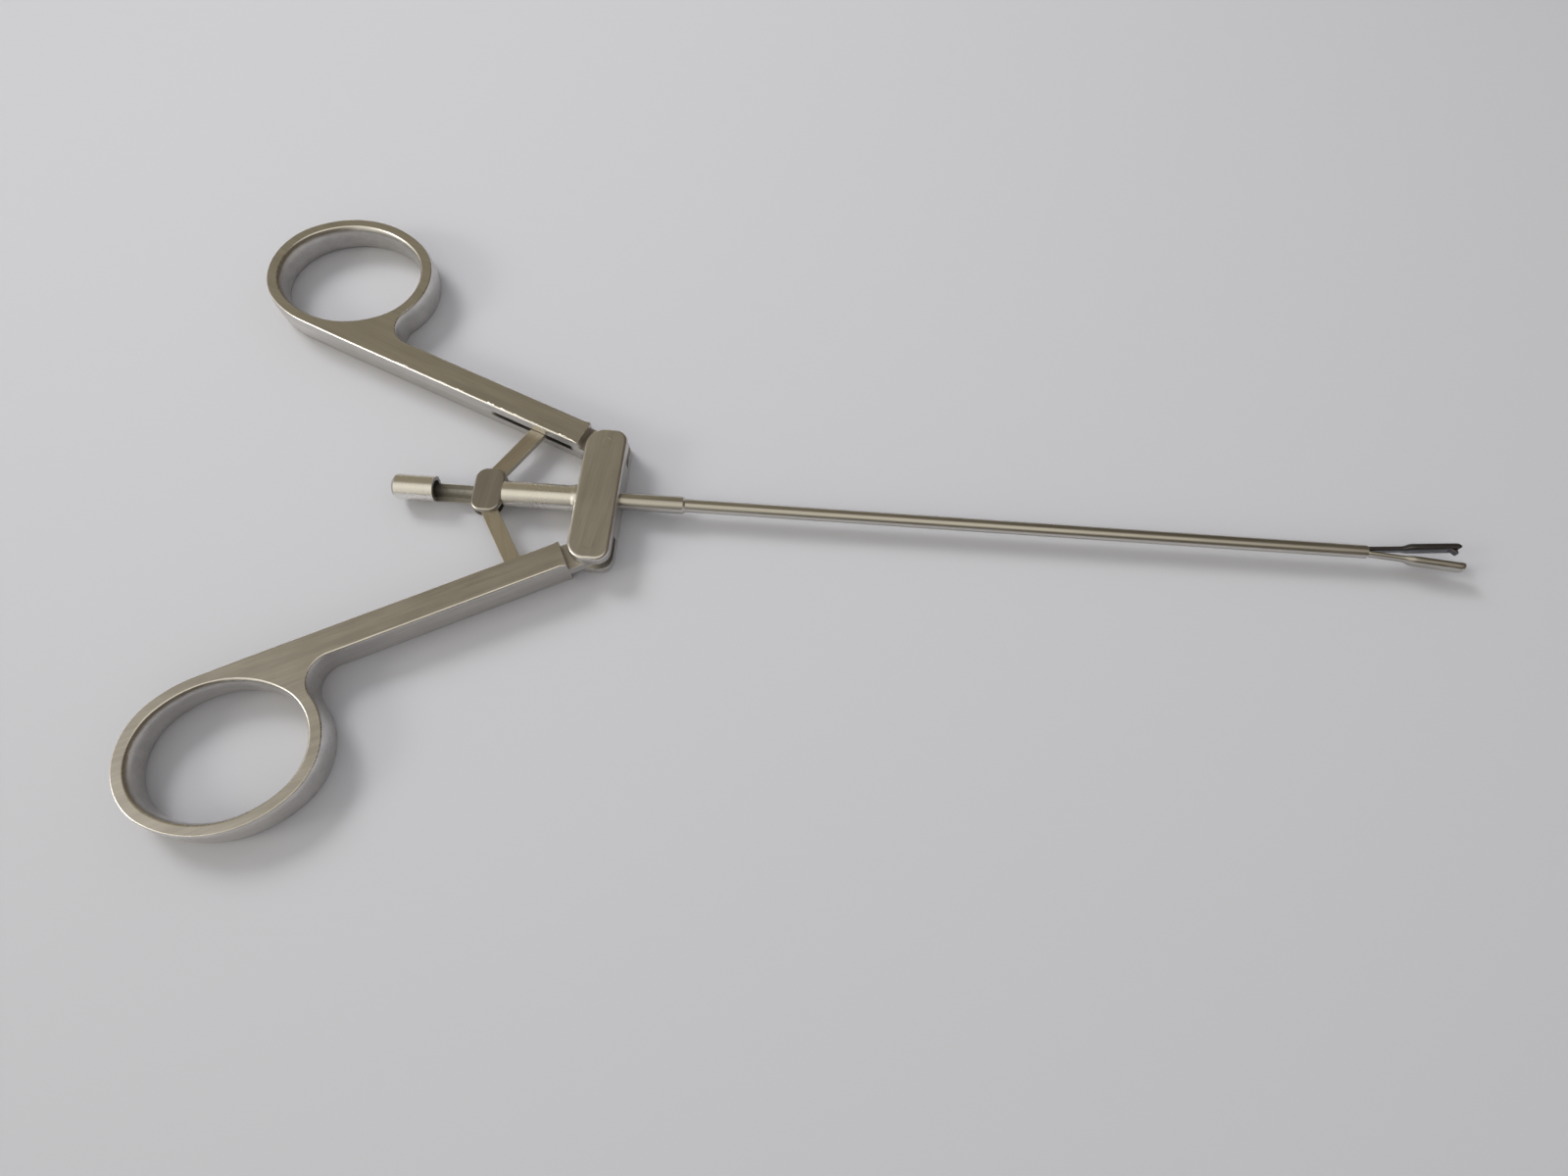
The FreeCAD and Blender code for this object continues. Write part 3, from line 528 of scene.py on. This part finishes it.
def jaw(side):
    """One jaw on its spring leg: the left one with a claw, the right one with a pocket for it and a tooth.

    The radius eases from leg to jaw, and over the last JAW_TIP of the length it falls by
    0.75 (1 - sqrt(1 - t^2)), where t runs from 0 to 1.
    """
    sign = 1 if side == "left" else -1
    swing = turn_matrix(sign * math.radians(JAW_OPENED))
    hinge = np.array(JAW_HINGE[side][:2])

    def placed(parts):
        corners, quads, flats = parts
        flat = (corners[:, :2] * [1, sign] - [0, hinge[1]]) @ swing.T + hinge
        if sign < 0:
            quads, flats = quads[:, ::-1], flats[:, ::-1]
        return np.column_stack([flat, corners[:, 2]]), quads, flats

    tip_start = JAW_LENGTH - JAW_TIP
    stations = np.concatenate([
        np.linspace(0, LEG_END, 6),
        np.linspace(LEG_END, SHOULDER_END, 9)[1:],
        np.linspace(SHOULDER_END, tip_start, 12)[1:],
        tip_start + JAW_TIP * np.sin(np.linspace(0, math.pi / 2, 9))[1:],
    ])
    radii = LEG_RADIUS + (JAW_RADIUS - LEG_RADIUS) * smooth_step(stations, LEG_END, SHOULDER_END)
    tip = np.clip((stations - tip_start) / JAW_TIP, 0, 1)
    radii = radii - 0.75 * (1 - np.sqrt(1 - tip ** 2))
    body = to_object("jaw_body_" + side, *placed(half_round(stations, radii)))
    if side == "left":
        past_tooth = plate([wall(rounded_box_line((16.95, -2), (19, 0.42), 0.02, 0.12), 2, 0, 0.01)])
        carved(body, to_object("past_tooth", *placed(past_tooth)))
        beak = [(15.5, 0.25), (16.0, -0.3), (16.42, -0.78), (16.7, -0.88), (16.86, -0.7), (16.9, -0.1),
                (16.98, 0.45), (16.9, 0.75), (15.9, 0.7)]
        carved(body, to_object("claw", *placed(plate([wall(smooth_line(beak), 0.55, 0, 0.2)]))), "UNION")
    else:
        pocket = plate([wall(rounded_box_line((15.4, -1), (16.98, 0.95), 0.02, 0.02), 0.6, 0, 0.01)])
        carved(body, to_object("pocket", *placed(pocket)))
        tooth = [(17.08, -0.25), (17.4, -0.33), (17.7, -0.2), (17.74, 0.3), (17.6, 0.6), (17.1, 0.6)]
        carved(body, to_object("tooth", *placed(plate([wall(smooth_line(tooth), 0.6, 0, 0.15)]))), "UNION")
    return adopt(body, "jaw_" + side, "jaw_%s_body" % side)


jaws = {side: jaw(side) for side in OPENED}


# Finishes

def new_group(name, inputs, outputs):
    """An empty shader node group with named sockets, and its two end nodes."""
    group = bpy.data.node_groups.new(name, "ShaderNodeTree")
    for socket, kind, value in inputs:
        item = group.interface.new_socket(socket, in_out="INPUT", socket_type=kind)
        if value is not None:
            item.default_value = value
    for socket, kind in outputs:
        group.interface.new_socket(socket, in_out="OUTPUT", socket_type=kind)
    return group, group.nodes.new("NodeGroupInput"), group.nodes.new("NodeGroupOutput")


def math_node(tree, operation, a, b=None, c=None, clamp=False):
    """A Math node; numbers are set on it and sockets are linked to it."""
    node = tree.nodes.new("ShaderNodeMath")
    node.operation = operation
    node.use_clamp = clamp
    for slot, value in enumerate((a, b, c)):
        if isinstance(value, (int, float)):
            node.inputs[slot].default_value = value
        elif value is not None:
            tree.links.new(value, node.inputs[slot])
    return node.outputs[0]


def noise_node(tree, vector, scale, detail=4.0, rough=0.6):
    node = tree.nodes.new("ShaderNodeTexNoise")
    node.inputs["Detail"].default_value = detail
    node.inputs["Roughness"].default_value = rough
    tree.links.new(vector, node.inputs["Vector"])
    if isinstance(scale, (int, float)):
        node.inputs["Scale"].default_value = scale
    else:
        tree.links.new(scale, node.inputs["Scale"])
    return node.outputs["Fac"]


def brushing_group():
    """Fine lines along X of the vector given, tenths of a millimetre apart and some millimetres long."""
    group, given, out = new_group(
        "brushing",
        [("Vector", "NodeSocketVector", None), ("Lines", "NodeSocketFloat", 2600.0),
         ("Stretch", "NodeSocketFloat", 0.05), ("Depth", "NodeSocketFloat", 1.0)],
        [("Grain", "NodeSocketFloat"), ("Bands", "NodeSocketFloat")])
    squeeze = group.nodes.new("ShaderNodeCombineXYZ")
    group.links.new(given.outputs["Stretch"], squeeze.inputs["X"])
    squeeze.inputs["Y"].default_value = 1
    group.links.new(given.outputs["Depth"], squeeze.inputs["Z"])
    drawn = group.nodes.new("ShaderNodeVectorMath")
    drawn.operation = "MULTIPLY"
    group.links.new(given.outputs["Vector"], drawn.inputs[0])
    group.links.new(squeeze.outputs[0], drawn.inputs[1])
    fine = noise_node(group, drawn.outputs[0], given.outputs["Lines"], 3.0, 0.7)
    broad_scale = math_node(group, "MULTIPLY", given.outputs["Lines"], 0.22)
    broad = noise_node(group, drawn.outputs[0], broad_scale, 3.0, 0.6)
    both = math_node(group, "MULTIPLY_ADD", fine, 0.7, broad)
    bands = math_node(group, "MULTIPLY_ADD", both, 2.6, -1.7, clamp=True)
    group.links.new(fine, out.inputs["Grain"])
    group.links.new(bands, out.inputs["Bands"])
    return group


def edge_wear_sheen_group():
    """Where edges are handled and rubbed bright, and brightened further as a painted sheen: the bevelled
    normal leaves the plain one there.
    """
    group, given, out = new_group(
        "edge_wear_sheen",
        [("Vector", "NodeSocketVector", None), ("Radius", "NodeSocketFloat", 0.00025)],
        [("Edge", "NodeSocketFloat")])
    bevel = group.nodes.new("ShaderNodeBevel")
    bevel.samples = 4
    group.links.new(given.outputs["Radius"], bevel.inputs["Radius"])
    plain = group.nodes.new("ShaderNodeNewGeometry")
    dot = group.nodes.new("ShaderNodeVectorMath")
    dot.operation = "DOT_PRODUCT"
    group.links.new(bevel.outputs[0], dot.inputs[0])
    group.links.new(plain.outputs["Normal"], dot.inputs[1])
    turned = math_node(group, "SUBTRACT", 1.0, dot.outputs["Value"])
    scaled = math_node(group, "MULTIPLY", turned, 9.0, clamp=True)
    patchy = noise_node(group, given.outputs["Vector"], 900.0, 3.0)
    broken = math_node(group, "MULTIPLY", scaled, patchy)
    doubled = math_node(group, "MULTIPLY", broken, 1.8, clamp=True)
    group.links.new(doubled, out.inputs["Edge"])
    return group


def rubbed_edge_sheen_group():
    """Edges between a side that faces along the axis given and one across it: rubbed bright in patches,
    partly real rubbing and partly a painted sheen.
    """
    group, given, out = new_group(
        "rubbed_edge_sheen", [("Vector", "NodeSocketVector", None), ("Axis", "NodeSocketVector", (0, 0, 1))],
        [("Edge", "NodeSocketFloat")])
    surface = group.nodes.new("ShaderNodeNewGeometry")
    dot = group.nodes.new("ShaderNodeVectorMath")
    dot.operation = "DOT_PRODUCT"
    group.links.new(surface.outputs["Normal"], dot.inputs[0])
    group.links.new(given.outputs["Axis"], dot.inputs[1])
    facing = math_node(group, "ABSOLUTE", dot.outputs["Value"])
    leaves_wall = math_node(group, "MULTIPLY_ADD", facing, 4.0, -2.0, clamp=True)
    reaches_flat = math_node(group, "MULTIPLY_ADD", facing, 12.0, -11.0, clamp=True)
    between = math_node(group, "SUBTRACT", leaves_wall, reaches_flat)
    patchy = noise_node(group, given.outputs["Vector"], 900.0, 3.0)
    uneven = math_node(group, "MULTIPLY_ADD", patchy, 0.7, 0.3)
    rubbed = math_node(group, "MULTIPLY", between, uneven, clamp=True)
    group.links.new(rubbed, out.inputs["Edge"])
    return group


def bore_group():
    """Inside a bore along X: 1 nearer to the axis than the radius given, 0 outside it."""
    group, given, out = new_group(
        "milled_bore", [("Vector", "NodeSocketVector", None), ("Radius", "NodeSocketFloat", 0.001)],
        [("Inside", "NodeSocketFloat")])
    parts = group.nodes.new("ShaderNodeSeparateXYZ")
    group.links.new(given.outputs["Vector"], parts.inputs[0])
    across = math_node(group, "POWER", parts.outputs["Y"], 2.0)
    square = math_node(group, "MULTIPLY_ADD", parts.outputs["Z"], parts.outputs["Z"], across)
    distance = math_node(group, "SQRT", square)
    less = math_node(group, "SUBTRACT", given.outputs["Radius"], distance)
    stained = noise_node(group, given.outputs["Vector"], 1300.0, 4.0)
    strong = math_node(group, "MULTIPLY", less, 20000.0, clamp=True)
    uneven = math_node(group, "MULTIPLY_ADD", stained, 0.5, 0.6, clamp=True)
    inside = math_node(group, "MULTIPLY", strong, uneven)
    group.links.new(inside, out.inputs["Inside"])
    return group


def rounding_group():
    """The surface's direction with its edges rounded off over the radius given."""
    group, given, out = new_group(
        "soft_edges", [("Radius", "NodeSocketFloat", 0.0002)], [("Rounded", "NodeSocketVector")])
    bevel = group.nodes.new("ShaderNodeBevel")
    bevel.samples = 6
    group.links.new(given.outputs["Radius"], bevel.inputs["Radius"])
    group.links.new(bevel.outputs[0], out.inputs["Rounded"])
    return group


def film_group():
    """Faint blotches of handling and oil, some millimetres across."""
    group, given, out = new_group(
        "handling_film", [("Vector", "NodeSocketVector", None)], [("Film", "NodeSocketFloat")])
    blotch = noise_node(group, given.outputs["Vector"], 160.0, 4.0)
    speck = noise_node(group, given.outputs["Vector"], 1400.0, 2.0)
    both = math_node(group, "MULTIPLY_ADD", speck, 0.35, blotch)
    spread = math_node(group, "MULTIPLY_ADD", both, 1.6, -0.6, clamp=True)
    group.links.new(spread, out.inputs["Film"])
    return group


def recess_shade_group():
    """Painted shade where little light reaches, inside slots and holes, broken up in patches: 1 at the
    deepest.
    """
    group, given, out = new_group(
        "recess_shade", [("Vector", "NodeSocketVector", None), ("Reach", "NodeSocketFloat", 0.0015)],
        [("Shade", "NodeSocketFloat")])
    open_sky = group.nodes.new("ShaderNodeAmbientOcclusion")
    open_sky.samples = 6
    open_sky.only_local = True
    group.links.new(given.outputs["Reach"], open_sky.inputs["Distance"])
    hidden = math_node(group, "SUBTRACT", 1.0, open_sky.outputs["AO"])
    patchy = noise_node(group, given.outputs["Vector"], 700.0, 3.0)
    deeper = math_node(group, "MULTIPLY_ADD", hidden, 2.2, -0.8)
    broken = math_node(group, "MULTIPLY_ADD", patchy, 0.5, deeper)
    settled = math_node(group, "SUBTRACT", broken, 0.25, clamp=True)
    group.links.new(settled, out.inputs["Shade"])
    return group


BRUSHING, EDGE_WEAR_SHEEN, FILM, RECESS_SHADE = brushing_group(), edge_wear_sheen_group(), film_group(), recess_shade_group()
SOFT_EDGES, RUBBED_EDGE_SHEEN, BORE = rounding_group(), rubbed_edge_sheen_group(), bore_group()
ALONG, UP = (1, 0, 0), (0, 0, 1)


def place_group(tree, group, vector=None, **values):
    """The node group in a material, on the coordinates given and with the numbers given."""
    node = tree.nodes.new("ShaderNodeGroup")
    node.node_tree = group
    if vector:
        tree.links.new(vector, node.inputs["Vector"])
    for socket, value in values.items():
        node.inputs[socket].default_value = value
    return node


def steel(name, tone, rough, turn=0.0, lines=2600.0, stretch=0.05, grain=0.12, relief=0.25, stained=0.82,
          wear_sheen_mm=0.25, reach_mm=1.5, round_mm=0.2, depth=1.0, edges_from=None, bore_mm=0.0):
    """Brushed steel: lines along X turned by the angle given, brighter edges that are partly rubbed and
    partly a painted sheen, painted shade in recesses and a faint film.

    edges_from is the axis that the flat sides face on a piece whose mesh has its own rounded edges; on
    other pieces the edges are found and rounded in the shading. A bore_mm darkens the inside of a bore.
    """
    material = bpy.data.materials.new(name)
    tree = shader_tree(material)
    shader = tree.nodes.new("ShaderNodeBsdfPrincipled")
    out = tree.nodes.new("ShaderNodeOutputMaterial")
    place = tree.nodes.new("ShaderNodeTexCoord")
    mapping = tree.nodes.new("ShaderNodeMapping")
    mapping.vector_type = "TEXTURE"
    mapping.inputs["Rotation"].default_value = (0, 0, turn)
    tree.links.new(place.outputs["Object"], mapping.inputs["Vector"])
    vector = mapping.outputs["Vector"]
    brushing = place_group(tree, BRUSHING, vector, Lines=lines, Stretch=stretch, Depth=depth)
    if edges_from:
        wear_and_sheen = place_group(tree, RUBBED_EDGE_SHEEN, place.outputs["Object"], Axis=edges_from)
    else:
        wear_and_sheen = place_group(tree, EDGE_WEAR_SHEEN, vector, Radius=wear_sheen_mm * MM)
    film = place_group(tree, FILM, vector)
    recess_shade = place_group(tree, RECESS_SHADE, vector, Reach=reach_mm * MM)
    dark = tuple(stained * v for v in tone)
    bright = tuple(min(1.0, 1.25 * v) for v in tone)
    lined = mix_colour(tree, brushing.outputs["Bands"], dark, tone)
    slight = math_node(tree, "MULTIPLY", film.outputs["Film"], 0.3)
    filmed = mix_colour(tree, slight, lined, tone)
    # Edges brightened to 1.25 times the tone: partly real rubbing, partly a painted sheen.
    worn_and_sheened = mix_colour(tree, wear_and_sheen.outputs["Edge"], filmed, bright)
    # Painted shade: recesses that the ambient occlusion finds are darkened towards a sixth of the tone.
    darkened = mix_colour(tree, recess_shade.outputs["Shade"], worn_and_sheened, tuple(0.16 * v for v in tone))
    if bore_mm:
        bore = place_group(tree, BORE, place.outputs["Object"], Radius=bore_mm * MM)
        darkened = mix_colour(tree, bore.outputs["Inside"], darkened, tuple(0.4 * v for v in tone))
    tree.links.new(darkened, shader.inputs["Base Color"])
    lines_rough = math_node(tree, "MULTIPLY_ADD", brushing.outputs["Grain"], grain, rough - grain / 2)
    film_rough = math_node(tree, "MULTIPLY_ADD", film.outputs["Film"], 0.08, lines_rough)
    edge_rough = math_node(tree, "MULTIPLY_ADD", wear_and_sheen.outputs["Edge"], -0.08, film_rough, clamp=True)
    if bore_mm:
        edge_rough = math_node(tree, "MULTIPLY_ADD", bore.outputs["Inside"], 0.3, edge_rough, clamp=True)
    tree.links.new(edge_rough, shader.inputs["Roughness"])
    bump = tree.nodes.new("ShaderNodeBump")
    bump.inputs["Strength"].default_value = relief
    bump.inputs["Distance"].default_value = 0.00004
    tree.links.new(brushing.outputs["Grain"], bump.inputs["Height"])
    if not edges_from and round_mm > 0:
        rounded = place_group(tree, SOFT_EDGES, Radius=round_mm * MM)
        tree.links.new(rounded.outputs["Rounded"], bump.inputs["Normal"])
    tree.links.new(bump.outputs["Normal"], shader.inputs["Normal"])
    shader.inputs["Metallic"].default_value = 1.0
    tree.links.new(shader.outputs[0], out.inputs["Surface"])
    return material


OLIVE = (0.72, 0.70, 0.675)
DULL = (0.50, 0.48, 0.455)
PALE = (0.88, 0.86, 0.83)
BROWN = (0.65, 0.60, 0.51)
TUBE = (0.66, 0.64, 0.605)
BAR_TURN = {side: (1 if side == "left" else -1) * math.radians(180 - OPENED[side]) for side in OPENED}
LINK_TURN = {"left": math.radians(52), "right": math.radians(-70)}
ACROSS = math.radians(84)

finish_of = {}
for side in OPENED:
    turned = BAR_TURN[side]
    finish_of["handle_" + side] = steel("brushed_handle_" + side, OLIVE, 0.29, turned, reach_mm=2.5,
                                        edges_from=UP)
    finish_of["link_pin_" + side] = steel("ground_pin_" + side, OLIVE, 0.3, turned, wear_sheen_mm=0.02,
                                          round_mm=0)
    finish_of["link_" + side] = steel("rolled_link_" + side, BROWN, 0.36, LINK_TURN[side], round_mm=0.12)
ground_pad = {"turn": ACROSS, "lines": 3000.0, "reach_mm": 2.0, "edges_from": UP}
ground_end = {"turn": ACROSS, "lines": 3000.0, "wear_sheen_mm": 0.02, "round_mm": 0}
block_steel = steel("brushed_block", OLIVE, 0.32, **ground_pad)
block_pin = steel("flush_pin", OLIVE, 0.32, **ground_end)
head_steel = steel("satin_crosshead", DULL, 0.36, **ground_pad)
head_pin = steel("small_pin", DULL, 0.36, **ground_end)
tube_steel = steel("drawn_tube", TUBE, 0.27, 0.0, lines=3200.0, stretch=0.02, grain=0.06, relief=0.05,
                   edges_from=ALONG)
guide_steel = steel("turned_guide", PALE, 0.24, math.radians(90), lines=2400.0, stretch=0.01, depth=0.01,
                    grain=0.03, relief=0.012, stained=0.95, reach_mm=2.5, edges_from=ALONG, bore_mm=2.28)
rod_steel = steel("drawn_rod", (0.55, 0.52, 0.46), 0.28, 0.0, stretch=0.02)
# The left jaw's steel has a much darker tone than the right jaw's.
jaw_dark = steel("dark_jaw_steel", (0.2, 0.197, 0.215), 0.36, 0.0, round_mm=0, wear_sheen_mm=0.1)
jaw_pale = steel("milled_jaw", (0.62, 0.60, 0.56), 0.27, 0.0, round_mm=0, wear_sheen_mm=0.1)
finish_of.update({
    "handle_block": block_steel, "pivot_pin_left": block_pin, "pivot_pin_right": block_pin,
    "crosshead": head_steel, "rod_pin": head_pin, "crosshead_pin_left": head_pin,
    "crosshead_pin_right": head_pin, "guide_tube": guide_steel, "guide_collar": guide_steel,
    "shaft_ferrule": tube_steel, "shaft_tube": tube_steel, "pull_rod": rod_steel,
    "jaw_left": jaw_dark, "jaw_right": jaw_pale,
})
for name, node in nodes.items():
    node.data.materials.clear()
    node.data.materials.append(finish_of[name])
dressed = {"handle_left": handles["left"], "handle_right": handles["right"], "handle_block": block_piece,
           "crosshead": head_piece, "jaw_left": jaws["left"], "jaw_right": jaws["right"]}
for name, piece in dressed.items():
    piece.data.materials.clear()
    piece.data.materials.append(finish_of[name])


def table():
    """A large pale table top under the forceps."""
    half = 1.5
    mesh = bpy.data.meshes.new("table_top")
    corners = np.array([(-half, -half), (half, -half), (half, half), (-half, half)])
    points = np.column_stack([corners, np.full(4, TABLE_Z)])
    mesh.from_pydata(points.tolist(), [], [(0, 1, 2, 3)])
    top = bpy.data.objects.new("table_top", mesh)
    bpy.context.scene.collection.objects.link(top)
    material = bpy.data.materials.new("pale_paper")
    tree = shader_tree(material)
    shader = tree.nodes.new("ShaderNodeBsdfPrincipled")
    out = tree.nodes.new("ShaderNodeOutputMaterial")
    shader.inputs["Base Color"].default_value = (0.55, 0.548, 0.553, 1)
    shader.inputs["Roughness"].default_value = 0.8
    tree.links.new(shader.outputs[0], out.inputs["Surface"])
    mesh.materials.append(material)


table()
